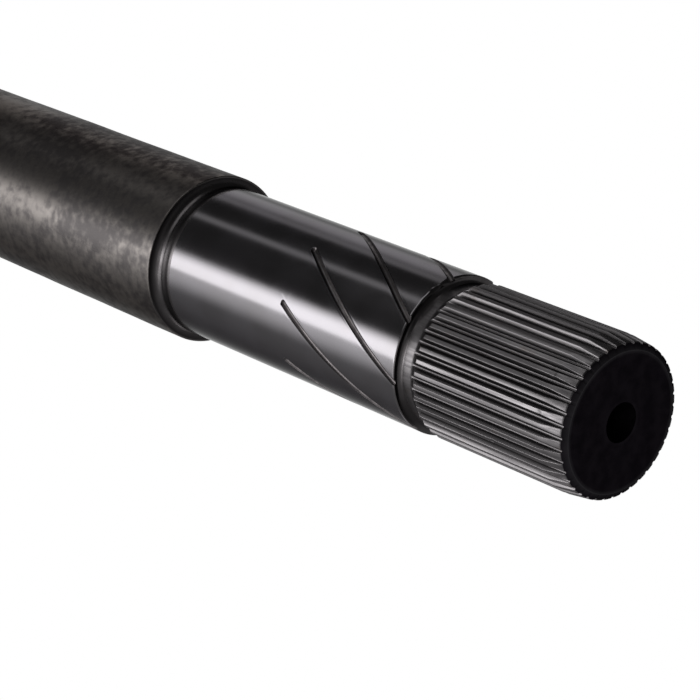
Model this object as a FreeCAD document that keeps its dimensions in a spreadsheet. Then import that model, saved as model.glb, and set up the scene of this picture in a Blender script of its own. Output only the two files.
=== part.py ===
import FreeCAD, Part
import math
import os
import Sketcher

# Driving sizes in millimetres and degrees
SIZES = (
    ("journal_diameter", 44.45, "ground bearing journal, 1.75 inch"),
    ("journal_length", 95.7, "ground journal between the undercut and the relief"),
    ("shoulder_height", 2.675, "step from the journal up to the rough forged body"),
    ("body_length", 250.0, "rough body between the shoulder and the far face"),
    ("undercut_length", 5.4, "turned undercut between the shoulder and the journal"),
    ("undercut_depth", 0.3, "undercut floor below the journal's surface"),
    ("undercut_ramp", 1.6, "axial length of the slope from the undercut up to the journal"),
    ("undercut_fillet", 2.3, "fillet at the foot of the shoulder"),
    ("shoulder_chamfer", 0.3, "broken edge of the shoulder"),
    ("relief_length", 7.0, "relief groove between the journal and the teeth"),
    ("relief_depth", 0.12, "relief floor below the tooth roots"),
    ("relief_ramp", 3.0, "axial length of the slope from the relief up to the crests"),
    ("relief_foot", 1.7, "45 degree foot of the relief's wall"),
    ("spline_teeth", 40, "teeth round each splined end"),
    ("tooth_module", 1.0583, "pitch diameter for each tooth, 24 teeth to the inch"),
    ("pressure_angle", 30.0, "involute spline pressure angle"),
    ("tooth_clocking", 6.0, "turn of the tooth gaps from +Z"),
    ("spline_length", 53.3, "splined end, from its first crest to the end face"),
    ("lead_in_length", 7.8, "tapered length of the teeth at the end face"),
    ("lead_in_angle", 7.0, "taper of the teeth at the end face"),
    ("end_chamfer_length", 1.0, "axial length of the chamfer round the end face"),
    ("face_diameter", 37.9, "flat of the end face"),
    ("far_chamfer", 2.0, "chamfer round the far face"),
    ("centre_mouth_diameter", 10.6, "mouth of a 60 degree centre"),
    ("centre_pilot_diameter", 5.0, "pilot hole of a centre"),
    ("centre_depth", 11.0, "depth of a pilot hole below its face"),
    ("oil_groove_count", 8, "helical oil grooves round the journal"),
    ("oil_groove_reach", 46.0, "axial length of an oil groove from the relief to its round end"),
    ("oil_groove_angle", 30.0, "slope of an oil groove to the shaft's axis"),
    ("oil_groove_depth", 0.7, "depth of an oil groove"),
    ("oil_groove_width", 1.7, "width of an oil groove at the journal's surface"),
    ("oil_groove_floor", 0.6, "width of an oil groove's flat floor"),
    ("oil_clocking", 26.1, "turn of the oil grooves' round ends from +Z"),
)

CUT_CLEARANCE = 1.0
CENTRE_HALF_ANGLE = 30.0
DRILL_HALF_ANGLE = 59.0
FULL_TURN = 360.0
OIL_GROOVE_SPANS = 4

# Radii worked out from the driving sizes
JOURNAL_R = "Sizes.journal_diameter / 2"
BODY_R = f"{JOURNAL_R} + Sizes.shoulder_height"
UNDERCUT_R = f"{JOURNAL_R} - Sizes.undercut_depth"
PITCH_R = "Sizes.tooth_module * Sizes.spline_teeth / 2"
CREST_R = "Sizes.tooth_module * (Sizes.spline_teeth + 1) / 2"
ROOT_R = "Sizes.tooth_module * (Sizes.spline_teeth - 1.8) / 2"
BASE_R = f"{PITCH_R} * cos(Sizes.pressure_angle)"
RELIEF_R = f"{ROOT_R} - Sizes.relief_depth"
FACE_R = "Sizes.face_diameter / 2"
LEAD_IN_DROP = "(Sizes.lead_in_length - Sizes.end_chamfer_length) * tan(Sizes.lead_in_angle)"
LEAD_IN_R = f"{CREST_R} - {LEAD_IN_DROP}"

# Stations along the shaft, from the middle of the journal
JOURNAL_END = "Sizes.journal_length / 2"
TEETH_START = f"{JOURNAL_END} + Sizes.relief_length"
NEAR_FACE = f"{TEETH_START} + Sizes.spline_length"
JOURNAL_START = "-Sizes.journal_length / 2"
OIL_GROOVE_START = f"{JOURNAL_END} - Sizes.oil_groove_reach"
SHOULDER = f"{JOURNAL_START} - Sizes.undercut_length"
FAR_FACE = f"{SHOULDER} - Sizes.body_length"


def make_sheet(doc):
    """Put each driving size in a cell of its own, beside what it means."""
    sheet = doc.addObject("Spreadsheet::Sheet", "Sizes")
    for row, (name, value, meaning) in enumerate(SIZES, start=1):
        sheet.set(f"A{row}", meaning)
        sheet.set(f"B{row}", str(value))
        sheet.setAlias(f"B{row}", name)
    doc.recompute()
    return sheet


def number(sheet, expression):
    """Value of an expression on the sizes."""
    result = sheet.evalExpression(expression)
    return float(getattr(result, "Value", result))


def origin_feature(body, role):
    """Plane or axis of the body's own origin."""
    return next(item for item in body.Origin.OriginFeatures if item.Role == role)


def new_sketch(body, name, plane):
    """Empty sketch on one of the body's origin planes."""
    sketch = body.newObject("Sketcher::SketchObject", name)
    sketch.AttachmentSupport = [(origin_feature(body, plane), "")]
    sketch.MapMode = "FlatFace"
    return sketch


def hold(sketch, sheet, kind, geometry, point, expression, name):
    """Tie one distance of a sketch point, from the sketch's origin, to an expression."""
    value = number(sheet, expression)
    sketch.addConstraint(Sketcher.Constraint(kind, -1, 1, geometry, point, value))
    index = sketch.ConstraintCount - 1
    sketch.renameConstraint(index, name)
    sketch.setExpression(f"Constraints.{name}", expression)


def hold_size(sketch, sheet, kind, places, expression, name):
    """Tie a length or a radius of the sketch to an expression."""
    sketch.addConstraint(Sketcher.Constraint(kind, *places, number(sheet, expression)))
    sketch.renameConstraint(sketch.ConstraintCount - 1, name)
    sketch.setExpression(f"Constraints.{name}", expression)


def draw_outline(sketch, sheet, corners):
    """Closed outline of straight lines through corners given as a station and a radius."""
    points = [FreeCAD.Vector(number(sheet, x), number(sheet, r), 0) for x, r in corners]
    count = len(points)
    for i in range(count):
        sketch.addGeometry(Part.LineSegment(points[i], points[(i + 1) % count]), False)
    for i in range(count):
        sketch.addConstraint(Sketcher.Constraint("Coincident", i, 2, (i + 1) % count, 1))
    for i, (station, radius) in enumerate(corners):
        hold(sketch, sheet, "DistanceX", i, 1, station, f"station_{i}")
        hold(sketch, sheet, "DistanceY", i, 1, radius, f"radius_{i}")


def revolve(body, sheet, name, corners, kind="PartDesign::Groove"):
    """Turn an outline about the shaft's axis, as added metal or as a cut."""
    sketch = new_sketch(body, f"{name}_profile", "XZ_Plane")
    draw_outline(sketch, sheet, corners)
    feature = body.newObject(kind, name)
    feature.Profile = sketch
    feature.ReferenceAxis = (sketch, ["H_Axis"])
    feature.Angle = FULL_TURN
    body.Document.recompute()
    return feature


def turn_blank(body, sheet):
    """Turned bar: rough body, journal and the tapered end that the teeth are cut in."""
    taper_start = f"{NEAR_FACE} - Sizes.lead_in_length"
    chamfer_start = f"{NEAR_FACE} - Sizes.end_chamfer_length"
    corners = [(FAR_FACE, "0"), (FAR_FACE, BODY_R), (SHOULDER, BODY_R), (SHOULDER, JOURNAL_R),
               (JOURNAL_END, JOURNAL_R), (JOURNAL_END, CREST_R), (taper_start, CREST_R),
               (chamfer_start, LEAD_IN_R), (NEAR_FACE, FACE_R), (NEAR_FACE, "0")]
    revolve(body, sheet, "turned_bar", corners, "PartDesign::Revolution")


def cut_undercut(body, sheet):
    """Undercut at the foot of the shoulder, with a slope up to the journal."""
    clear = f"{JOURNAL_R} + {CUT_CLEARANCE}"
    floor_end = f"{JOURNAL_START} - Sizes.undercut_ramp"
    corners = [(SHOULDER, UNDERCUT_R), (floor_end, UNDERCUT_R), (JOURNAL_START, JOURNAL_R),
               (JOURNAL_START, clear), (SHOULDER, clear)]
    revolve(body, sheet, "shoulder_undercut", corners)


def cut_relief(body, sheet):
    """Relief groove where the teeth run out, with a slope up to their crests."""
    clear = f"max({JOURNAL_R}; {CREST_R}) + {CUT_CLEARANCE}"
    floor_end = f"{TEETH_START} - Sizes.relief_ramp"
    foot_top = f"{RELIEF_R} + Sizes.relief_foot"
    foot_end = f"{JOURNAL_END} + Sizes.relief_foot"
    corners = [(JOURNAL_END, foot_top), (foot_end, RELIEF_R), (floor_end, RELIEF_R), (TEETH_START, CREST_R),
               (TEETH_START, clear), (JOURNAL_END, clear)]
    revolve(body, sheet, "relief", corners)


def cut_centre(body, sheet, name, face, inward):
    """Centre hole: a 60 degree cone, a pilot hole and the drill's point."""
    mouth = "Sizes.centre_mouth_diameter / 2"
    pilot = "Sizes.centre_pilot_diameter / 2"
    cone_end = f"{face} {inward} ({mouth} - {pilot}) / tan({CENTRE_HALF_ANGLE})"
    pilot_end = f"{face} {inward} Sizes.centre_depth"
    tip = f"{pilot_end} {inward} {pilot} / tan({DRILL_HALF_ANGLE})"
    corners = [(face, "0"), (face, mouth), (cone_end, pilot), (pilot_end, pilot), (tip, "0")]
    revolve(body, sheet, name, corners)


def ring_names(shape, station, radius):
    """Names of the circular edges at a station with a radius."""
    tolerance = 0.001
    names = []
    for index, edge in enumerate(shape.Edges, start=1):
        circle = edge.Curve
        if not isinstance(circle, Part.Circle):
            continue
        if abs(circle.Center.x - station) < tolerance and abs(circle.Radius - radius) < tolerance:
            names.append(f"Edge{index}")
    return names


def dress_ring(body, sheet, kind, name, station, radius, size):
    """Fillet or chamfer the edge that runs round the shaft at a station."""
    base = body.Tip
    edges = ring_names(base.Shape, number(sheet, station), number(sheet, radius))
    if not edges:
        raise RuntimeError(f"{name}: no edge at its station")
    dressing = body.newObject(f"PartDesign::{kind}", name)
    dressing.Base = (base, edges)
    dressing.setExpression("Radius" if kind == "Fillet" else "Size", f"Sizes.{size}")
    body.Document.recompute()


def dress_edges(body, sheet):
    """Fillet at the foot of the shoulder and chamfers on the outer edges."""
    dress_ring(body, sheet, "Fillet", "shoulder_fillet", SHOULDER, UNDERCUT_R, "undercut_fillet")
    dress_ring(body, sheet, "Chamfer", "shoulder_edge", SHOULDER, BODY_R, "shoulder_chamfer")
    dress_ring(body, sheet, "Chamfer", "far_edge", FAR_FACE, BODY_R, "far_chamfer")


def draw_tooth_gap(sketch, sheet):
    """Space between two teeth: two involute flanks, a full round root and a line above the crests.

    Each flank is the involute's circle of curvature at the pitch circle, centred on the base circle.
    """
    centre_angle = "(90 / Sizes.spline_teeth + Sizes.pressure_angle)"
    centre_x = f"{BASE_R} * sin{centre_angle}"
    centre_y = f"{BASE_R} * cos{centre_angle}"
    flank_r = f"{PITCH_R} * sin(Sizes.pressure_angle)"
    top = f"{CREST_R} + {CUT_CLEARANCE}"
    cx, cy, flank, root, height = (number(sheet, e) for e in (centre_x, centre_y, flank_r, ROOT_R, top))

    # The round root touches both flank circles and passes through the root circle
    root_y = (cx ** 2 + cy ** 2 - (flank - root) ** 2) / (2 * (cy + flank - root))
    low_angle = math.atan2(root_y - cy, -cx)
    top_angle = math.pi - math.asin((height - cy) / flank)
    normal = FreeCAD.Vector(0, 0, 1)
    right_circle = Part.Circle(FreeCAD.Vector(cx, cy, 0), normal, flank)
    left_circle = Part.Circle(FreeCAD.Vector(-cx, cy, 0), normal, flank)
    root_circle = Part.Circle(FreeCAD.Vector(0, root_y, 0), normal, root_y - root)
    right_arc = Part.ArcOfCircle(right_circle, top_angle, low_angle)
    left_arc = Part.ArcOfCircle(left_circle, math.pi - low_angle, math.pi - top_angle)
    root_arc = Part.ArcOfCircle(root_circle, 2 * math.pi - low_angle, math.pi + low_angle)
    right, left, bottom = (sketch.addGeometry(arc, False) for arc in (right_arc, left_arc, root_arc))
    lid_ends = sketch.Geometry[left].EndPoint, sketch.Geometry[right].StartPoint
    lid = sketch.addGeometry(Part.LineSegment(*lid_ends), False)
    deepest = sketch.addGeometry(Part.Point(FreeCAD.Vector(0, root, 0)), True)

    sketch.addConstraint(Sketcher.Constraint("Tangent", right, 2, bottom, 2))
    sketch.addConstraint(Sketcher.Constraint("Tangent", left, 1, bottom, 1))
    sketch.addConstraint(Sketcher.Constraint("Coincident", lid, 1, left, 2))
    sketch.addConstraint(Sketcher.Constraint("Coincident", lid, 2, right, 1))
    sketch.addConstraint(Sketcher.Constraint("PointOnObject", deepest, 1, -2))
    sketch.addConstraint(Sketcher.Constraint("PointOnObject", deepest, 1, bottom))
    sketch.addConstraint(Sketcher.Constraint("Equal", right, left))
    hold(sketch, sheet, "DistanceX", right, 3, centre_x, "right_centre_x")
    hold(sketch, sheet, "DistanceY", right, 3, centre_y, "right_centre_y")
    hold(sketch, sheet, "DistanceX", left, 3, f"-{centre_x}", "left_centre_x")
    hold(sketch, sheet, "DistanceY", left, 3, centre_y, "left_centre_y")
    hold(sketch, sheet, "DistanceY", right, 1, top, "right_top")
    hold(sketch, sheet, "DistanceY", left, 2, top, "left_top")
    hold(sketch, sheet, "DistanceY", deepest, 1, ROOT_R, "root_radius")
    hold_size(sketch, sheet, "Radius", (right,), flank_r, "flank_radius")


def ring_pattern(body, name, originals, count):
    """Repeat cuts evenly round the shaft's axis."""
    pattern = body.newObject("PartDesign::PolarPattern", name)
    pattern.Originals = originals
    pattern.Axis = (origin_feature(body, "X_Axis"), [""])
    pattern.Angle = FULL_TURN
    pattern.setExpression("Occurrences", f"Sizes.{count}")
    body.Tip = pattern
    body.Document.recompute()


def turned_sketch(body, name, station, turn, lean="0"):
    """Sketch across the shaft at a station, turned about the axis, then leaned about its own vertical."""
    sketch = new_sketch(body, name, "YZ_Plane")
    place = f"vector(0; 0; {station})"
    about_axis = f"rotation(vector(0; 0; 1); {turn})"
    about_radius = f"rotation(vector(0; 1; 0); {lean})"
    sketch.setExpression("AttachmentOffset", f"placement({place}; {about_axis} * {about_radius})")
    return sketch


def cut_teeth(body, sheet):
    """Spline: a tooth gap cut from the end face into the relief, repeated round the axis."""
    sketch = turned_sketch(body, "tooth_gap_section", NEAR_FACE, "Sizes.tooth_clocking")
    draw_tooth_gap(sketch, sheet)
    gap = body.newObject("PartDesign::Pocket", "tooth_gap")
    gap.Profile = sketch
    gap.setExpression("Length", "Sizes.spline_length + Sizes.relief_length / 2")
    body.Document.recompute()
    ring_pattern(body, "teeth", [gap], "spline_teeth")


def cutter_corners(both_sides):
    """Outline of the oil grooves' tapered cutter, whole or on one side of its axis."""
    top = f"{JOURNAL_R} + {CUT_CLEARANCE}"
    floor = f"{JOURNAL_R} - Sizes.oil_groove_depth"
    half_floor = "Sizes.oil_groove_floor / 2"
    flare = "(Sizes.oil_groove_width - Sizes.oil_groove_floor) / 2"
    half_top = f"({half_floor} + {flare} * (1 + {CUT_CLEARANCE} / Sizes.oil_groove_depth))"
    if both_sides:
        return [(half_top, top), (half_floor, floor), (f"-{half_floor}", floor), (f"-{half_top}", top)]
    return [(half_top, top), (half_floor, floor), ("0", floor), ("0", top)]


def groove_sketch(body, sheet, name, share, both_sides):
    """Cutter outline square to an oil groove's path, at a share of its way into the relief."""
    along = f"{share} * (Sizes.oil_groove_reach + Sizes.relief_length / 2)"
    turn = f"Sizes.oil_clocking + {along} * tan(Sizes.oil_groove_angle) / ({JOURNAL_R}) * 180 / pi"
    sketch = turned_sketch(body, name, f"{OIL_GROOVE_START} + {along}", turn, "-Sizes.oil_groove_angle")
    draw_outline(sketch, sheet, cutter_corners(both_sides))
    return sketch


def cut_oil_grooves(body, sheet):
    """Helical oil grooves of the journal: each starts at a round end and runs out into the relief."""
    sections = []
    for step in range(OIL_GROOVE_SPANS + 1):
        name = f"oil_groove_section_{step}"
        sections.append(groove_sketch(body, sheet, name, step / OIL_GROOVE_SPANS, True))
    groove = body.newObject("PartDesign::SubtractiveLoft", "oil_groove")
    groove.Profile = sections[0]
    groove.Sections = sections[1:]
    body.Document.recompute()

    round_end = body.newObject("PartDesign::Groove", "oil_groove_end")
    round_end.Profile = groove_sketch(body, sheet, "oil_groove_end_section", 0, False)
    round_end.ReferenceAxis = (round_end.Profile[0], ["V_Axis"])
    round_end.Angle = FULL_TURN
    body.Document.recompute()
    ring_pattern(body, "oil_grooves", [groove, round_end], "oil_groove_count")


def check(doc, body):
    """Stop when an object failed, when a cut took nothing away or a fillet changed nothing."""
    for item in doc.Objects:
        if "Invalid" in item.State or "Error" in item.State:
            raise RuntimeError(f"{item.Name} failed: {item.State}")
    features = [item for item in body.Group if item.isDerivedFrom("PartDesign::Feature")]
    for before, after in zip(features, features[1:]):
        removed = before.Shape.Volume - after.Shape.Volume
        is_fillet = after.isDerivedFrom("PartDesign::Fillet")
        if removed == 0 or (removed < 0 and not is_fillet):
            raise RuntimeError(f"{after.Name} took nothing away")
    if body.Shape.isNull() or not body.Shape.isValid() or len(body.Shape.Solids) != 1:
        raise RuntimeError(f"{body.Label} is not one sound solid")


def main():
    doc = FreeCAD.newDocument("axle_shaft")
    sheet = make_sheet(doc)
    body = doc.addObject("PartDesign::Body", "axle_shaft")
    body.Label = "axle_shaft"
    body.Placement = FreeCAD.Placement()

    turn_blank(body, sheet)
    cut_undercut(body, sheet)
    cut_relief(body, sheet)
    dress_edges(body, sheet)
    cut_centre(body, sheet, "near_centre", NEAR_FACE, "-")
    cut_centre(body, sheet, "far_centre", FAR_FACE, "+")
    cut_oil_grooves(body, sheet)
    cut_teeth(body, sheet)

    doc.recompute()
    check(doc, body)
    os.makedirs("parts", exist_ok=True)
    body.Shape.exportStep("parts/axle_shaft.step")
    print("volume in mm3:", round(body.Shape.Volume, 1), "faces:", len(body.Shape.Faces))


main()
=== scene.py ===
import math

import bpy
import numpy as np
from mathutils import Matrix, Vector, noise


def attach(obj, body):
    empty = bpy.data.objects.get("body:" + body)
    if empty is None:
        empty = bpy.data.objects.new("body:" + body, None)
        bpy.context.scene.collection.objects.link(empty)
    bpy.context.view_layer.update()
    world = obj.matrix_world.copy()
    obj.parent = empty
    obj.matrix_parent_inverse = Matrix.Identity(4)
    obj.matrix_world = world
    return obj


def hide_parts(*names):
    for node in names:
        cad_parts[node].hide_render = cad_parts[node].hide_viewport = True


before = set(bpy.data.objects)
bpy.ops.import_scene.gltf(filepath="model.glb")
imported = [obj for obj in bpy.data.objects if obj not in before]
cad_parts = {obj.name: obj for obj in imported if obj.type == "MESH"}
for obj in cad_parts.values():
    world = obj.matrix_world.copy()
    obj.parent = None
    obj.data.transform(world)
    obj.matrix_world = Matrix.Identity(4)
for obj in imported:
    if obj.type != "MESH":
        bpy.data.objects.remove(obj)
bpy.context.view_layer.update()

MM = 0.001

# Sizes of the shaft in millimetres and degrees, from the middle of its journal
JOURNAL_R = 22.225
JOURNAL_HALF = 47.85
SHOULDER_HEIGHT = 2.675
BODY_LENGTH = 250.0
UNDERCUT_LENGTH = 5.4
UNDERCUT_DEPTH = 0.3
UNDERCUT_RAMP = 1.6
UNDERCUT_FILLET = 2.3
UNDERCUT_ROUND = 9.0
SHOULDER_ROUND = 0.3
RELIEF_LENGTH = 7.0
RELIEF_DEPTH = 0.12
RELIEF_RAMP = 3.0
RELIEF_FILLET = 1.4
CLIMB_POWER = 1.7
CLIMB_ROUND = 0.8
TEETH = 40
MODULE = 1.0583
PRESSURE_ANGLE = math.radians(30)
TOOTH_CLOCKING = math.radians(6.0)
ROOT_ROUND = 0.42
SPLINE_LENGTH = 53.3
LEAD_IN_LENGTH = 7.8
LEAD_IN_ANGLE = math.radians(7)
END_CHAMFER = 1.0
CHAMFER_ROUND = 0.7
FACE_R = 18.95
FAR_CHAMFER = 2.0
FAR_ROUND = 0.35
CENTRE_MOUTH_R = 5.3
CENTRE_PILOT_R = 2.5
CENTRE_DEPTH = 11.0
CENTRE_ROUND = 0.15
CENTRE_TIP_R = 0.2
CENTRE_HALF_ANGLE = math.radians(30)
DRILL_HALF_ANGLE = math.radians(59)
GROOVES = 8
GROOVE_REACH = 46.0
GROOVE_ANGLE = math.radians(30)
GROOVE_DEPTH = 0.7
GROOVE_CUTTER_R = 0.9
GROOVE_CLOCKING = math.radians(26.1)

# Worn and broken edges in millimetres
CREST_ROUND = 0.1
GROOVE_RIM = 0.2
# Reach of the lighter rim of the end face, a painted highlight with the coat rubbed there
RIM_SHEEN_AND_WEAR = 0.3
SKIN_WAVE = 0.08
SKIN_FADE = 12.0
JOURNAL_DROP = 0.2
JOURNAL_CHIP = 0.9
CHIP_WIDTH = 1.6
DENT_DEPTH = 0.35
DENT_LENGTH = 0.7
DENT_WIDTH = 0.45

# How much of the chipped edge has gone, from -1 for none of it to 1 for all
CHIP_SHARE = 0.35

# How sharply the journal turns down into an oil groove
RIM_SHARPNESS = 2.5

# Depth below the journal, in millimetres, from which an oil groove has its own material
GROOVE_EDGE = 0.06

# Depth below the crests, in millimetres, where the painted shade in the tooth gaps starts and where it is
# full
SHADE_START = 0.2
SHADE_FULL = 0.8

# Shares of the painted shade: in the tooth gaps, on the relief's floor, and more of it at the places below
GAP_SHADE = 0.5
GAP_MORE_SHADE = 0.5
RELIEF_SHADE = 0.35
RELIEF_MORE_SHADE = 0.9

# Dents in the crests: distance from the end face and angle from FRONT, in millimetres and degrees
DENTS = ((25.0, 49.5), (8.7, 14.0), (8.7, -13.0))

# Places round the shaft: the chipped edge, and where the relief and the tooth gaps get more painted shade;
# angle from FRONT and spread, in degrees
CHIPPED_EDGE = (-46, 15)
MORE_SHADED_RELIEF = ((-25, 12), (66, 24))
MORE_SHADED_GAPS = (-62, 22)

# Radii and stations that follow from the sizes
BODY_R = JOURNAL_R + SHOULDER_HEIGHT
UNDERCUT_R = JOURNAL_R - UNDERCUT_DEPTH
PITCH_R = MODULE * TEETH / 2
CREST_R = MODULE * (TEETH + 1) / 2
ROOT_R = MODULE * (TEETH - 1.8) / 2
BASE_R = PITCH_R * math.cos(PRESSURE_ANGLE)
RELIEF_R = ROOT_R - RELIEF_DEPTH
JOURNAL_START = -JOURNAL_HALF
JOURNAL_END = JOURNAL_HALF
SHOULDER = JOURNAL_START - UNDERCUT_LENGTH
FAR_FACE = SHOULDER - BODY_LENGTH
TEETH_START = JOURNAL_END + RELIEF_LENGTH
NEAR_FACE = TEETH_START + SPLINE_LENGTH
LEAD_IN_START = NEAR_FACE - LEAD_IN_LENGTH
GROOVE_START = JOURNAL_END - GROOVE_REACH

# Columns of faces round the body, round a centre hole and in each oil groove's share of the journal
BODY_COLUMNS = 192
CENTRE_COLUMNS = 64
GROOVE_COLUMNS = 60

# Distance between the rings of the body in millimetres
BODY_RING_STEP = 4.6

# Rings from the dents before the lead-in on, as distances from the end face in millimetres
LEAD_IN_RINGS = (9.6, 9.0, 8.5, 8.0, 7.4, 5.5)

# Reach of a groove's fine columns to each side, as a multiple of its half width with its rim
GROOVE_MARGIN = 1.15

# How far before GROOVE_START the round start of a groove and its worn rim can reach, in millimetres
GROOVE_NOSE = 1.5 * GROOVE_CUTTER_R

# Angle between two faces from which the edge between them is sharp
SHARP_ANGLE = math.radians(50)

# Angle about the axis that faces the photograph's camera
FRONT = math.radians(150.04)

# The photograph's camera: its place in metres, its direction, and its lens and sensor in millimetres
CAMERA_PLACE = (0.53980, -0.47232, 0.27228)
CAMERA_AZIMUTH = math.radians(48.516)
CAMERA_ELEVATION = math.radians(21.661)
CAMERA_LENS = 142.07
CAMERA_SENSOR = 36.0

# White floor in metres: its height, its reach, the radius of its bend and the top of its wall
FLOOR_HEIGHT = -1.5
FLOOR_R = 12.0
FLOOR_BEND = 2.0
FLOOR_TOP = 3.0
FLOOR_COLUMNS = 96

# Numbers of the materials, in the order in which the shaft gets them
SKIN, TURNED, JOURNAL, GROOVE, SPLINE, END, CENTRE = range(7)


class Shell:
    """Closed skin made of rings of vertices round the X axis, each joined to the one before it."""

    def __init__(self):
        self.vertices = []
        self.faces = []
        self.materials = []
        self.shade_and_rim_sheens = []
        self.count = 0
        self.last = None

    def ring(self, stations, radii, angles, shade_and_rim_sheen):
        """Add a ring's vertices and return their numbers with their angles."""
        count = len(angles)
        self.shade_and_rim_sheens.append(np.broadcast_to(shade_and_rim_sheen, count))
        x = np.broadcast_to(stations, count)
        r = np.broadcast_to(radii, count)
        self.vertices.append(np.stack([x, r * np.cos(angles), r * np.sin(angles)], axis=1))
        self.count += count
        return np.arange(self.count - count, self.count), np.asarray(angles)

    def add(self, stations, radii, angles, material, shade_and_rim_sheen=0.0):
        """Add a ring and join it to the last one, column by column or by angle where the counts differ."""
        ring = self.ring(stations, radii, angles, shade_and_rim_sheen)
        if self.last is not None:
            if len(self.last[0]) == len(ring[0]):
                self.join_columns(self.last[0], ring[0], material)
            else:
                self.join_by_angle(self.last, ring, material)
        self.last = ring

    def join_columns(self, low, high, material):
        """Quads between two rings with the same columns, of one material or of one for each column."""
        self.materials.extend(np.broadcast_to(material, len(low)).tolist())
        for i in range(len(low)):
            j = (i + 1) % len(low)
            self.faces.append((low[i], low[j], high[j], high[i]))

    def join_by_angle(self, low, high, material):
        """Triangles between two rings with different columns, in the order of their angles."""
        low_ids, low_angles = roll_to_start(*low)
        high_ids, high_angles = roll_to_start(*high)
        i, j = 0, 0
        while i < len(low_ids) or j < len(high_ids):
            a, b = low_ids[i % len(low_ids)], high_ids[j % len(high_ids)]
            next_low = turned(low_angles, i + 1)
            next_high = turned(high_angles, j + 1)
            if j >= len(high_ids) or (i < len(low_ids) and next_low <= next_high):
                i += 1
                self.faces.append((a, low_ids[i % len(low_ids)], b))
            else:
                j += 1
                self.faces.append((a, high_ids[j % len(high_ids)], b))
            self.materials.append(material)

    def close(self, ring, material):
        """Close the shell with one face across a ring."""
        self.faces.append(tuple(ring))
        self.materials.append(material)


def roll_to_start(ids, angles):
    """Ring numbers and angles from 0 up to a full turn."""
    angles = np.mod(angles, 2 * math.pi)
    start = int(np.argmin(angles))
    return np.roll(ids, -start), np.roll(angles, -start)


def turned(angles, index):
    """Angle of a column, counted on past a full turn."""
    return angles[index % len(angles)] + 2 * math.pi * (index // len(angles))


def even_angles(count):
    """Angles of evenly spaced columns round the shaft."""
    return np.arange(count) * 2 * math.pi / count


def arc_points(centre_x, centre_r, radius, start, end, steps):
    """Stations and radii along an arc of the shaft's outline."""
    return [(centre_x + radius * math.cos(a), centre_r + radius * math.sin(a))
            for a in np.radians(np.linspace(start, end, steps + 1))]


def rounded(outline, radius, steps=3):
    """Outline with each inner corner replaced by an arc of about the given radius."""
    points = [Vector(p) for p in outline]
    result = [outline[0]]
    for before, corner, after in zip(points, points[1:], points[2:]):
        back = (before - corner).normalized()
        ahead = (after - corner).normalized()
        half = back.angle(ahead) / 2
        # Just under half of the shorter side, so that the arcs of two corners don't meet
        room = min((before - corner).length, (after - corner).length) / 2.1
        reach = min(radius / math.tan(half), room)
        first, last = corner + back * reach, corner + ahead * reach
        for t in np.linspace(0, 1, steps + 1):
            result.append(tuple(first.lerp(corner, t).lerp(corner.lerp(last, t), t)))
    result.append(outline[-1])
    return result


def unevenness(station, angles, along, around, seed):
    """Smooth noise from -1 to 1 round the shaft at a station, with waves of the given lengths."""
    return np.array([noise.noise(Vector((station / along + seed, math.cos(a) * BODY_R / around,
                                         math.sin(a) * BODY_R / around))) for a in angles])


def centre_outline():
    """Centre hole from its drill point out to its mouth, as depth below the face and radius."""
    cone = (CENTRE_MOUTH_R - CENTRE_PILOT_R) / math.tan(CENTRE_HALF_ANGLE)
    tip = CENTRE_DEPTH + CENTRE_PILOT_R / math.tan(DRILL_HALF_ANGLE)
    outline = [(tip, CENTRE_TIP_R), (CENTRE_DEPTH, CENTRE_PILOT_R), (cone, CENTRE_PILOT_R),
               (0, CENTRE_MOUTH_R), (0, CENTRE_MOUTH_R + 1)]
    return rounded(outline, CENTRE_ROUND)


def add_body(shell):
    """Rough body from the flat of its far face to the flat of the shoulder, with a forging's uneven skin."""
    angles = even_angles(BODY_COLUMNS)
    far_edge = rounded([(FAR_FACE, BODY_R - FAR_CHAMFER - 1), (FAR_FACE, BODY_R - FAR_CHAMFER),
                        (FAR_FACE + FAR_CHAMFER, BODY_R), (FAR_FACE + FAR_CHAMFER + 1, BODY_R)], FAR_ROUND)
    near_edge = arc_points(SHOULDER - SHOULDER_ROUND, BODY_R - SHOULDER_ROUND, SHOULDER_ROUND, 90, 0, 5)
    # A ring just before the rounded edge keeps the shading of the skin from bending towards it
    smooth_end = near_edge[0][0] - 0.4
    near_edge.insert(0, (smooth_end, BODY_R))
    for station, radius in far_edge:
        shell.add(station, radius, angles, SKIN)
    for station in np.arange(far_edge[-1][0] + 4, smooth_end - 2, BODY_RING_STEP):
        fade = min(1, (smooth_end - station) / SKIN_FADE)
        broad = unevenness(station, angles, along=26, around=18, seed=3)
        fine = unevenness(station, angles, along=9, around=7, seed=8)
        shell.add(station, BODY_R + SKIN_WAVE * fade * (broad + 0.5 * fine), angles, SKIN)
    for station, radius in near_edge:
        shell.add(station, radius, angles, SKIN)


def add_undercut(shell):
    """Undercut from the flat of the shoulder to the start of the journal, with painted shade at the foot of
    the shoulder.
    """
    _, angles, _ = journal_ring(JOURNAL_START)
    fillet = arc_points(SHOULDER + UNDERCUT_FILLET, UNDERCUT_R + UNDERCUT_FILLET, UNDERCUT_FILLET,
                        180, 270, 6)
    ramp_foot = JOURNAL_START - UNDERCUT_RAMP
    flat_before = 1.4
    flat_after = 1.0
    ramp = [(ramp_foot - flat_before, UNDERCUT_R), (ramp_foot, UNDERCUT_R), (JOURNAL_START, JOURNAL_R),
            (JOURNAL_START + flat_after, JOURNAL_R)]
    # Painted shade: darkest at the shoulder wall, gone where the fillet meets the floor
    for (station, radius), shade_share in zip(fillet, np.linspace(1, 0, len(fillet))):
        shell.add(station, radius, angles, TURNED, shade_share)
    for station, radius in rounded(ramp, UNDERCUT_ROUND, 4):
        shell.add(station, radius, angles, TURNED)


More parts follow.
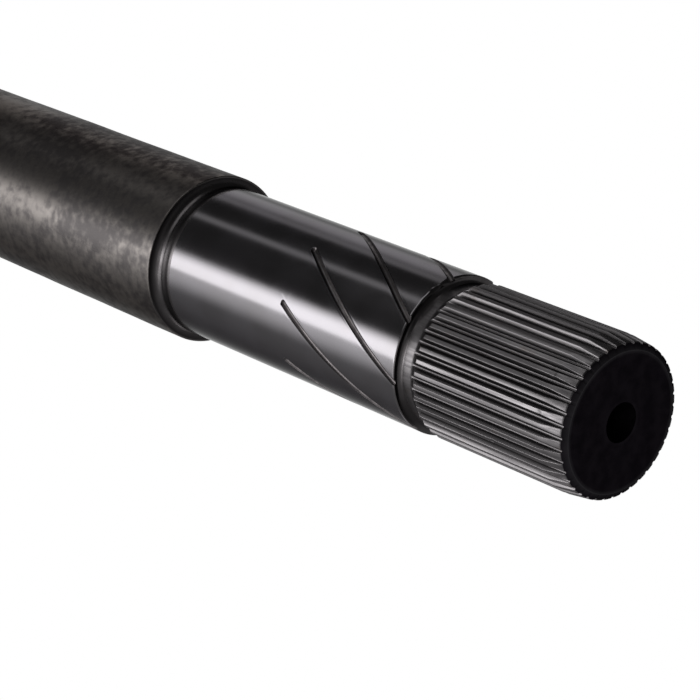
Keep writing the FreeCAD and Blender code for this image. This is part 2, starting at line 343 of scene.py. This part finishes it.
def relief_outline():
    """Relief from the journal's end wall to the foot of the slope up to the teeth."""
    return arc_points(JOURNAL_END + RELIEF_FILLET, RELIEF_R + RELIEF_FILLET, RELIEF_FILLET, 180, 270, 7)


def groove_spread():
    """Angles of the columns of one oil groove's share of the journal, closer together across the groove."""
    half_width = (GROOVE_CUTTER_R + GROOVE_RIM) / JOURNAL_R / math.cos(GROOVE_ANGLE)
    across = half_width * np.linspace(-GROOVE_MARGIN, GROOVE_MARGIN, GROOVE_COLUMNS // 2, endpoint=False)
    edge = GROOVE_MARGIN * half_width
    next_groove = 2 * math.pi / GROOVES
    land = np.linspace(edge, next_groove - edge, GROOVE_COLUMNS // 2, endpoint=False)
    return np.concatenate([across, land])


def groove_depth(along, across):
    """Depth of an oil groove below the journal: a ball cutter's path with a round start and worn rims."""
    reach = np.where(along < 0, np.hypot(along, across), np.abs(across))
    rise = GROOVE_CUTTER_R - GROOVE_DEPTH
    bowl = np.sqrt(np.clip(GROOVE_CUTTER_R ** 2 - reach ** 2, 0, None)) - rise
    return GROOVE_RIM * np.logaddexp(0, bowl / GROOVE_RIM * RIM_SHARPNESS) / RIM_SHARPNESS


def journal_ring(station):
    """Radii and angles round the journal at a station, with its oil grooves, and where those are."""
    past_start = max(station - GROOVE_START, -GROOVE_NOSE)
    offsets = groove_spread()
    across = offsets * JOURNAL_R * math.cos(GROOVE_ANGLE)
    along = past_start / math.cos(GROOVE_ANGLE) + across * math.tan(GROOVE_ANGLE)
    beside = np.abs(across) < GROOVE_MARGIN * (GROOVE_CUTTER_R + GROOVE_RIM)
    depth = np.where(beside & (past_start > -GROOVE_NOSE), groove_depth(along, across), 0)
    twist = past_start * math.tan(GROOVE_ANGLE) / JOURNAL_R
    # The clocking is counted from +Z towards -Y, the way a right-hand turn about +X takes it
    start = math.pi / 2 + GROOVE_CLOCKING + twist
    starts = start + 2 * math.pi / GROOVES * np.arange(GROOVES)
    angles = (starts[:, None] + offsets[None, :]).ravel()
    return np.tile(JOURNAL_R - depth, GROOVES), angles, np.tile(depth > GROOVE_EDGE, GROOVES)


def journal_stations():
    """Stations of the journal's rings: closest together at the round starts of the oil grooves."""
    nose = 1.3
    plain = np.linspace(JOURNAL_START + 8, GROOVE_START - 1.5, 4)
    starts = np.linspace(GROOVE_START - nose, GROOVE_START + nose, 20)
    run = np.linspace(GROOVE_START + 2.4, JOURNAL_END - 1.9, 30)
    return np.concatenate([plain, starts, run])


def add_journal(shell):
    """Journal with its oil grooves, and the chipped edge above the relief."""
    for station in journal_stations():
        radii, angles, in_groove = journal_ring(station)
        shell.add(station, radii, angles, np.where(in_groove, GROOVE, JOURNAL))
    # The edge ring is darkened, most at the chipped place
    for inset, drop, material in ((0.7, 0.0, JOURNAL), (0.25, 0.0, JOURNAL), (0.0, JOURNAL_DROP, TURNED)):
        radii, angles, in_groove = journal_ring(JOURNAL_END - inset)
        place = near_angle(angles, *CHIPPED_EDGE)
        rough = unevenness(JOURNAL_END, angles, along=5, around=CHIP_WIDTH, seed=5)
        chips = JOURNAL_CHIP * place * np.clip(rough + CHIP_SHARE, 0, 1)
        shell.add(JOURNAL_END - inset - chips, np.minimum(radii, JOURNAL_R - drop), angles,
                  np.where(in_groove, GROOVE, material), place * drop / JOURNAL_DROP)


def near_angle(angles, place, spread):
    """Share from 1 down to 0 by how far points lie from a place round the shaft, in degrees from FRONT."""
    away = np.remainder(angles - FRONT - math.radians(place) + math.pi, 2 * math.pi) - math.pi
    return np.exp(-(away / math.radians(spread)) ** 2)


def gap_half_angle(radius):
    """Half of the gap between two teeth at a radius, as an angle, by the involute from the pitch circle."""
    def involute(r):
        """Angle that a flank's involute turns through from the base circle out to a radius."""
        tangent = np.sqrt((r / BASE_R) ** 2 - 1)
        return tangent - np.arctan(tangent)
    return math.pi / 2 / TEETH + involute(radius) - involute(PITCH_R)


def tooth_section(crest):
    """Angles and radii from the middle of a tooth gap to the next one, with crests of the given radius."""
    root_top = ROOT_R + ROOT_ROUND
    crest_r = max(crest, ROOT_R)
    turns = np.linspace(0, math.pi / 2, 5)
    root_angles = gap_half_angle(root_top) * np.sin(turns)
    root_radii = ROOT_R + (root_top - ROOT_R) * (1 - np.cos(turns))
    corner = min(CREST_ROUND, max(crest_r - root_top, 0) / 2)
    flank_radii = np.linspace(root_top, max(crest_r - corner, root_top), 4)[1:]
    flank_angles = gap_half_angle(flank_radii)
    edge = gap_half_angle(max(crest_r, root_top))
    inner = edge + CREST_ROUND / CREST_R
    t = np.linspace(0, 1, 5)[1:]
    corner_angles = (1 - t) ** 2 * flank_angles[-1] + 2 * t * (1 - t) * edge + t ** 2 * inner
    corner_radii = (1 - t) ** 2 * flank_radii[-1] + 2 * t * (1 - t) * crest_r + t ** 2 * crest_r
    middle = math.pi / TEETH
    half_angles = np.concatenate([root_angles, flank_angles, corner_angles, [middle]])
    half_radii = np.minimum(np.concatenate([root_radii, flank_radii, corner_radii, [crest_r]]), crest)
    angles = np.concatenate([half_angles, 2 * middle - half_angles[-2:0:-1]])
    radii = np.concatenate([half_radii, half_radii[-2:0:-1]])
    return angles, radii


def tooth_ring(crest):
    """Radii and angles round the splined end where the crests are at the given radius."""
    section_angles, section_radii = tooth_section(crest)
    starts = math.pi / 2 + TOOTH_CLOCKING + 2 * math.pi / TEETH * np.arange(TEETH)
    angles = (starts[:, None] + section_angles[None, :]).ravel()
    return np.tile(section_radii, TEETH), angles


def dented(station, radii, angles):
    """Radii of a ring of the splined end, with the small dents that handling left in the crests."""
    width = math.degrees(DENT_WIDTH / CREST_R)
    for inset, place in DENTS:
        along = math.exp(-((station - NEAR_FACE + inset) / DENT_LENGTH) ** 2)
        radii = radii - DENT_DEPTH * along * near_angle(angles, place, width)
    return radii


def crest_outline():
    """Stations of the splined end with the radius of the crests there, close together across the dents."""
    start = TEETH_START - RELIEF_RAMP
    climb = [(start + RELIEF_RAMP * t, RELIEF_R + (CREST_R - RELIEF_R) * t ** CLIMB_POWER)
             for t in np.linspace(0, 1, 9)]
    top = rounded([climb[-2], climb[-1], (TEETH_START + CLIMB_ROUND, CREST_R)], CLIMB_ROUND, 3)
    dent = DENTS[0][0]
    level = [*np.linspace(TEETH_START + 3, NEAR_FACE - (dent + 2), 4),
             *np.linspace(NEAR_FACE - (dent + 1), NEAR_FACE - (dent - 1), 6), NEAR_FACE - 15]
    run = [(station, CREST_R) for station in level]
    tip = NEAR_FACE - END_CHAMFER
    tip_r = CREST_R - (tip - LEAD_IN_START) * math.tan(LEAD_IN_ANGLE)
    taper = [(station, CREST_R - max(station - LEAD_IN_START, 0) * math.tan(LEAD_IN_ANGLE))
             for station in NEAR_FACE - np.array(LEAD_IN_RINGS)]
    end = rounded([taper[-1], (tip, tip_r), (NEAR_FACE, FACE_R), (NEAR_FACE, FACE_R - 1)],
                  CHAMFER_ROUND, 4)
    return climb[:-2] + top + run + taper + end[1:]


def add_spline(shell):
    """Relief and teeth with painted shade in the relief and the tooth gaps, and the blackened chamfer round
    the end face with a painted highlight at its rim.
    """
    _, tooth_angles = tooth_ring(CREST_R)
    # Painted shade on the relief, growing from its wall to its floor, with more of it at two places round
    # the shaft
    shade_share = RELIEF_MORE_SHADE * sum(near_angle(tooth_angles, *place) for place in MORE_SHADED_RELIEF)
    relief = relief_outline()
    for (station, radius), share in zip(relief, np.linspace(0, 1, len(relief))):
        shell.add(station, radius, tooth_angles, TURNED, RELIEF_SHADE * share + shade_share)
    # The black coat starts on the chamfer, a little past its outer corner
    black_from = NEAR_FACE - END_CHAMFER + 0.1
    for station, crest in crest_outline():
        radii, angles = tooth_ring(crest)
        if station < black_from:
            material = SPLINE
            # Painted shade deep in the tooth gaps, with more of it on one side of the shaft
            in_gap = np.clip((crest - radii - SHADE_START) / (SHADE_FULL - SHADE_START), 0, 1)
            shade_and_rim_sheen = (GAP_SHADE + GAP_MORE_SHADE * near_angle(angles, *MORE_SHADED_GAPS)) * in_gap
        else:
            material = END
            # Lighter towards the rim's corner: a painted highlight along the rounded edge, and the coat
            # rubbed there
            shade_and_rim_sheen = max(0, 1 - math.hypot(station - NEAR_FACE, crest - FACE_R) / RIM_SHEEN_AND_WEAR)
        shell.add(station, dented(station, radii, angles), angles, material, shade_and_rim_sheen)


def build_shaft():
    """The whole shaft as one closed mesh, from the bottom of its far centre to that of the near one."""
    shell = Shell()
    centre_angles = even_angles(CENTRE_COLUMNS)
    for depth, radius in centre_outline():
        shell.add(FAR_FACE + depth, radius, centre_angles, TURNED)
    add_body(shell)
    add_undercut(shell)
    add_journal(shell)
    add_spline(shell)
    for depth, radius in reversed(centre_outline()):
        shell.add(NEAR_FACE - depth, radius, centre_angles, END if depth == 0 else CENTRE)
    shell.close(shell.last[0], CENTRE)
    shell.close(np.arange(CENTRE_COLUMNS)[::-1], TURNED)
    return shell


def make_object(name, shell):
    """Blender object of a shell, smooth between its sharp edges."""
    mesh = bpy.data.meshes.new(name)
    points = np.concatenate(shell.vertices) * MM
    mesh.from_pydata(points.tolist(), [], [tuple(map(int, face)) for face in shell.faces])
    # Share of painted shade, or of the end rim's painted highlight, at each vertex
    shade_and_rim_sheen = mesh.attributes.new("shade_and_rim_sheen", "FLOAT", "POINT")
    shade_and_rim_sheen.data.foreach_set("value", np.concatenate(shell.shade_and_rim_sheens))
    mesh.validate()
    mesh.polygons.foreach_set("material_index", shell.materials)
    mesh.shade_smooth()
    mesh.set_sharp_from_angle(angle=SHARP_ANGLE)
    piece = bpy.data.objects.new(name, mesh)
    bpy.context.scene.collection.objects.link(piece)
    return piece


# Painted shade: dark colour laid in the tooth gaps, in the relief and at the foot of the shoulder
SHADE_COLOUR = (0.019, 0.0175, 0.018)

# Lighter colour at the rim of the end face: a painted highlight along its rounded edge, and the black coat
# rubbed there
SHEEN_AND_WEAR_RIM = (0.026, 0.025, 0.027)


class Steel:
    """Metal material whose node tree is built up from noise in the piece's own coordinates."""

    def __init__(self, name, edge_tint):
        self.material = bpy.data.materials.new(name)
        self.material.use_nodes = True
        self.tree = self.material.node_tree
        self.shader = self.tree.nodes["Principled BSDF"]
        self.shader.inputs["Metallic"].default_value = 1.0
        self.shader.inputs["Specular Tint"].default_value = (edge_tint, edge_tint, edge_tint, 1)
        self.place = self.tree.nodes.new("ShaderNodeTexCoord").outputs["Object"]

    def wire(self, node, socket, value):
        """Set an input to a value, or link it to another node's output."""
        if isinstance(value, bpy.types.NodeSocket):
            self.tree.links.new(value, node.inputs[socket])
        else:
            node.inputs[socket].default_value = value

    def grain(self, along, around, detail=3.0):
        """Noise from 0 to 1 whose spots have the given sizes in millimetres, along and round the shaft."""
        stretch = self.tree.nodes.new("ShaderNodeMapping")
        self.wire(stretch, "Vector", self.place)
        self.wire(stretch, "Scale", (1 / (along * MM), 1 / (around * MM), 1 / (around * MM)))
        spots = self.tree.nodes.new("ShaderNodeTexNoise")
        self.wire(spots, "Vector", stretch.outputs["Vector"])
        self.wire(spots, "Scale", 1.0)
        self.wire(spots, "Detail", detail)
        return spots.outputs["Fac"]

    def level(self, value, low, high, from_low=0.3, from_high=0.7):
        """Value spread out between two levels."""
        spread = self.tree.nodes.new("ShaderNodeMapRange")
        spread.interpolation_type = "SMOOTHSTEP"
        self.wire(spread, "Value", value)
        self.wire(spread, "From Min", from_low)
        self.wire(spread, "From Max", from_high)
        self.wire(spread, "To Min", low)
        self.wire(spread, "To Max", high)
        return spread.outputs["Result"]

    def reckon(self, operation, *values):
        """Sum, product or other operation of two or three values."""
        node = self.tree.nodes.new("ShaderNodeMath")
        node.operation = operation
        for socket, value in enumerate(values):
            self.wire(node, socket, value)
        return node.outputs["Value"]

    def blend(self, share, first, second):
        """Colour between two colours."""
        node = self.tree.nodes.new("ShaderNodeMix")
        node.data_type = "RGBA"
        self.wire(node, "Factor", share)
        for socket, colour in zip((6, 7), (first, second)):
            self.wire(node, socket, colour if isinstance(colour, bpy.types.NodeSocket) else (*colour, 1))
        return node.outputs[2]

    def relief(self, height, depth, under=None):
        """Normal bent by a height from 0 to 1 that is the given depth in millimetres."""
        bump = self.tree.nodes.new("ShaderNodeBump")
        self.wire(bump, "Height", height)
        self.wire(bump, "Distance", depth * MM)
        if under is not None:
            self.wire(bump, "Normal", under)
        return bump.outputs["Normal"]

    def shade_and_rim_sheen(self):
        """Share of painted shade on the surface, or of the painted highlight and rubbed coat at the end's
        rim, kept with the mesh.
        """
        node = self.tree.nodes.new("ShaderNodeAttribute")
        node.attribute_name = "shade_and_rim_sheen"
        return node.outputs["Fac"]

    def finish(self, colour, roughness, normal):
        """Wire up the shader and return the material."""
        self.wire(self.shader, "Base Color", colour)
        self.wire(self.shader, "Roughness", roughness)
        self.wire(self.shader, "Normal", normal)
        return self.material


def forged_skin():
    """Rough body: mottled, brownish, with fine marks that run round the bar."""
    steel = Steel("forged_skin", 0.39)
    clouds = steel.grain(28, 16, 4)
    streaks = steel.grain(2.4, 2.6, 5)
    marks = steel.grain(0.35, 1.4, 1)
    mixed = steel.reckon("MULTIPLY_ADD", streaks, 0.5, steel.reckon("MULTIPLY", clouds, 0.5))
    colour = steel.blend(steel.level(mixed, 0, 1, 0.38, 0.62), (0.027, 0.025, 0.025), (0.055, 0.0505, 0.048))
    normal = steel.relief(streaks, 0.0028)
    normal = steel.relief(marks, 0.0045, normal)
    return steel.finish(colour, steel.level(mixed, 0.42, 0.34, 0.38, 0.62), normal)


def turned_steel():
    """Shoulder wall, undercut, relief and far centre hole: dull, with turning marks and painted shade in the
    recesses.
    """
    steel = Steel("turned_steel", 0.45)
    patches = steel.grain(3, 5)
    marks = steel.grain(0.25, 12, 1)
    grey = steel.blend(steel.level(patches, 0, 1), (0.032, 0.0295, 0.0305), (0.046, 0.0435, 0.0445))
    shade_and_rim_sheen = steel.shade_and_rim_sheen()
    colour = steel.blend(shade_and_rim_sheen, grey, SHADE_COLOUR)
    roughness = steel.reckon("MAXIMUM", steel.level(patches, 0.33, 0.26), steel.level(shade_and_rim_sheen, 0, 0.6, 0, 1))
    return steel.finish(colour, roughness, steel.relief(marks, 0.0015))


def ground_journal():
    """Journal: ground to a soft mirror, with a faint grind round it."""
    steel = Steel("ground_journal", 0.4)
    smudges = steel.grain(14, 9)
    grind = steel.grain(0.2, 30, 1)
    colour = steel.blend(steel.level(smudges, 0, 1), (0.057, 0.0545, 0.057), (0.062, 0.0595, 0.063))
    return steel.finish(colour, steel.level(smudges, 0.15, 0.18), steel.relief(grind, 0.0002))


def groove_steel():
    """Oil grooves: milled, brown with old oil."""
    steel = Steel("groove_steel", 0.45)
    oil = steel.grain(2.5, 2.5)
    colour = steel.blend(steel.level(oil, 0, 1), (0.025, 0.0228, 0.0235), (0.042, 0.0385, 0.039))
    return steel.finish(colour, steel.level(oil, 0.42, 0.34), steel.relief(oil, 0.006))


def spline_steel():
    """Teeth: drawn marks run along them, with brown stains and painted shade in the gaps."""
    steel = Steel("spline_steel", 0.4)
    drawn = steel.grain(22, 0.55)
    lines = steel.grain(9, 0.16, 1)
    stains = steel.grain(5, 3)
    grey = steel.blend(steel.level(drawn, 0, 1), (0.04, 0.0378, 0.0392), (0.064, 0.061, 0.0625))
    stained = steel.blend(steel.level(stains, 0, 0.5, 0.6, 0.8), grey, (0.045, 0.038, 0.034))
    shade_and_rim_sheen = steel.shade_and_rim_sheen()
    colour = steel.blend(shade_and_rim_sheen, stained, SHADE_COLOUR)
    normal = steel.relief(drawn, 0.006)
    normal = steel.relief(lines, 0.001, normal)
    roughness = steel.reckon("MAXIMUM", steel.level(drawn, 0.4, 0.32), steel.level(shade_and_rim_sheen, 0, 0.6, 0, 1))
    return steel.finish(colour, roughness, normal)


def painted_shade_centre():
    """Centre hole: painted shade, a black darker than the end face's coat."""
    steel = Steel("painted_shade_centre", 0.2)
    speckle = steel.grain(2, 2)
    colour = steel.blend(steel.level(speckle, 0, 1), (0.0012, 0.001, 0.0013), (0.0022, 0.0018, 0.0022))
    return steel.finish(colour, steel.level(speckle, 0.75, 0.65), steel.relief(speckle, 0.004))


def black_end():
    """End face and its chamfer: a matt black coat, lighter at the rim with a painted highlight along its
    rounded edge and the coat rubbed there.
    """
    steel = Steel("black_end", 0.4)
    coat = steel.grain(4, 4, 4)
    black = steel.blend(steel.level(coat, 0, 1), (0.0068, 0.0058, 0.0073), (0.0092, 0.0078, 0.0096))
    colour = steel.blend(steel.shade_and_rim_sheen(), black, SHEEN_AND_WEAR_RIM)
    return steel.finish(colour, steel.level(coat, 0.6, 0.5), steel.relief(coat, 0.004))


def place_camera():
    """Camera of the photograph, as fitted to the shaft's circles and outlines."""
    across = math.cos(CAMERA_ELEVATION)
    back = Vector((math.sin(CAMERA_AZIMUTH) * across, -math.cos(CAMERA_AZIMUTH) * across,
                   math.sin(CAMERA_ELEVATION)))
    right = Vector((math.cos(CAMERA_AZIMUTH), math.sin(CAMERA_AZIMUTH), 0))
    up = back.cross(right)
    data = bpy.data.cameras.new("camera")
    data.sensor_width = CAMERA_SENSOR
    data.lens = CAMERA_LENS
    camera = bpy.data.objects.new("camera", data)
    turn = Matrix((right, up, back)).transposed().to_4x4()
    camera.matrix_world = Matrix.Translation(CAMERA_PLACE) @ turn
    bpy.context.scene.collection.objects.link(camera)
    bpy.context.scene.camera = camera


def fade_edges(lamp, low_fade, high_fade):
    """Let a lamp's light fall off smoothly over a share of its width at each side."""
    lamp.use_nodes = True
    tree = lamp.node_tree
    across = tree.nodes.new("ShaderNodeSeparateXYZ")
    tree.links.new(tree.nodes.new("ShaderNodeNewGeometry").outputs["Parametric"], across.inputs[0])
    strength = None
    for start, end in ((1.0, 1.0 - low_fade), (0.0, high_fade)):
        edge = tree.nodes.new("ShaderNodeMapRange")
        edge.interpolation_type = "SMOOTHSTEP"
        tree.links.new(across.outputs["X"], edge.inputs["Value"])
        edge.inputs["From Min"].default_value = start
        edge.inputs["From Max"].default_value = end
        if strength is None:
            strength = edge.outputs["Result"]
        else:
            both = tree.nodes.new("ShaderNodeMath")
            both.operation = "MULTIPLY"
            tree.links.new(strength, both.inputs[0])
            tree.links.new(edge.outputs["Result"], both.inputs[1])
            strength = both.outputs["Value"]
    tree.links.new(strength, tree.nodes["Emission"].inputs["Strength"])


def softbox(name, low, high, radiance, fades=(0.1, 0.1), near=0.1, far=-1.7, distance=1.1):
    """Soft lamp between two angles round the shaft, counted from +Y towards +Z, and between two stations.

    Its distance from the axis and the stations are in metres, and each fade is a share of its width.
    """
    middle = math.radians((low + high) / 2)
    width = 2 * distance * math.tan(math.radians(high - low) / 2)
    lamp = bpy.data.lights.new(name, "AREA")
    lamp.shape = "RECTANGLE"
    lamp.size = width
    lamp.size_y = near - far
    lamp.energy = radiance * math.pi * width * (near - far)
    fade_edges(lamp, *fades)
    place = Vector(((near + far) / 2, distance * math.cos(middle), distance * math.sin(middle)))
    back = Vector((0, math.cos(middle), math.sin(middle)))
    along = Vector((1, 0, 0))
    turn = Matrix((back.cross(along), along, back)).transposed().to_4x4()
    item = bpy.data.objects.new(name, lamp)
    item.matrix_world = Matrix.Translation(place) @ turn
    item.visible_camera = False
    bpy.context.scene.collection.objects.link(item)


def light_studio():
    """Soft lamps that draw the bands of light along the steel, and a dim plain surround."""
    softbox("main", 154, 188, 14, (0.55, 0.1), near=-0.1)
    softbox("main_low", 186, 222, 4.0, (0.05, 0.8))
    softbox("main_front", 150, 230, 2.0, (0.25, 0.7), near=1.0, far=-0.1)
    softbox("top", 90, 105, 1.9, (0.45, 0.45), near=-0.5)
    softbox("far_edge", 42, 58, 2.0, (0.4, 0.4), near=-0.92)
    softbox("far_side", 6, 50, 5.0, (0.45, 0.5), near=-0.9)
    softbox("body_edge", 20, 64, 3.0, (0.45, 0.45), near=-1.33, far=-2.6)
    softbox("spline_fill", 78, 150, 2.6, (0.15, 0.35), near=-0.05, far=-0.345, distance=0.5)
    softbox("spline_low", 252, 288, 4.0, (0.4, 0.4), near=-0.05, far=-0.345, distance=0.5)
    world = bpy.data.worlds.new("studio")
    world.use_nodes = True
    world.node_tree.nodes["Background"].inputs["Color"].default_value = (0.15, 0.15, 0.15, 1)
    bpy.context.scene.world = world


def floor_outline():
    """Distances and heights of a floor far below the shaft that turns up into a low wall at its rim."""
    bend_start = FLOOR_R - FLOOR_BEND
    bend_middle = FLOOR_HEIGHT + FLOOR_BEND
    bend = [(bend_start + FLOOR_BEND * math.sin(a), bend_middle - FLOOR_BEND * math.cos(a))
            for a in np.linspace(0, math.pi / 2, 8)]
    return [(0.01, FLOOR_HEIGHT)] + bend + [(FLOOR_R, FLOOR_TOP)]


def lay_floor():
    """Plain white floor and backdrop under the held shaft."""
    columns = even_angles(FLOOR_COLUMNS)
    rings = floor_outline()
    points = [(distance * math.cos(a), distance * math.sin(a), height)
              for distance, height in rings for a in columns]
    faces = []
    for low in range(0, len(points) - FLOOR_COLUMNS, FLOOR_COLUMNS):
        high = low + FLOOR_COLUMNS
        for i in range(FLOOR_COLUMNS):
            j = (i + 1) % FLOOR_COLUMNS
            faces.append((low + i, high + i, high + j, low + j))
    faces.append(tuple(range(FLOOR_COLUMNS)))
    mesh = bpy.data.meshes.new("floor")
    mesh.from_pydata(points, [], faces)
    mesh.shade_smooth()
    floor = bpy.data.objects.new("floor", mesh)
    bpy.context.scene.collection.objects.link(floor)
    mesh.materials.append(floor_white())


def floor_white():
    """Matt white that the camera and every reflection see at full white."""
    material = bpy.data.materials.new("floor_white")
    material.use_nodes = True
    tree = material.node_tree
    tree.nodes.clear()
    output = tree.nodes.new("ShaderNodeOutputMaterial")
    mix = tree.nodes.new("ShaderNodeMixShader")
    diffuse = tree.nodes.new("ShaderNodeBsdfDiffuse")
    diffuse.inputs["Color"].default_value = (0.8, 0.8, 0.8, 1)
    white = tree.nodes.new("ShaderNodeEmission")
    path = tree.nodes.new("ShaderNodeLightPath")
    seen = path.outputs["Is Camera Ray"]
    for ray in ("Is Glossy Ray", "Is Transmission Ray"):
        either = tree.nodes.new("ShaderNodeMath")
        either.operation = "MAXIMUM"
        tree.links.new(seen, either.inputs[0])
        tree.links.new(path.outputs[ray], either.inputs[1])
        seen = either.outputs["Value"]
    tree.links.new(seen, mix.inputs["Fac"])
    tree.links.new(diffuse.outputs[0], mix.inputs[1])
    tree.links.new(white.outputs[0], mix.inputs[2])
    tree.links.new(mix.outputs[0], output.inputs["Surface"])
    return material


shaft = make_object("shaft", build_shaft())
for make_material in (forged_skin, turned_steel, ground_journal, groove_steel, spline_steel, black_end,
                      painted_shade_centre):
    shaft.data.materials.append(make_material())
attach(shaft, "root")
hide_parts("axle_shaft")

lay_floor()
light_studio()
place_camera()
bpy.context.scene.view_settings.view_transform = "Standard"
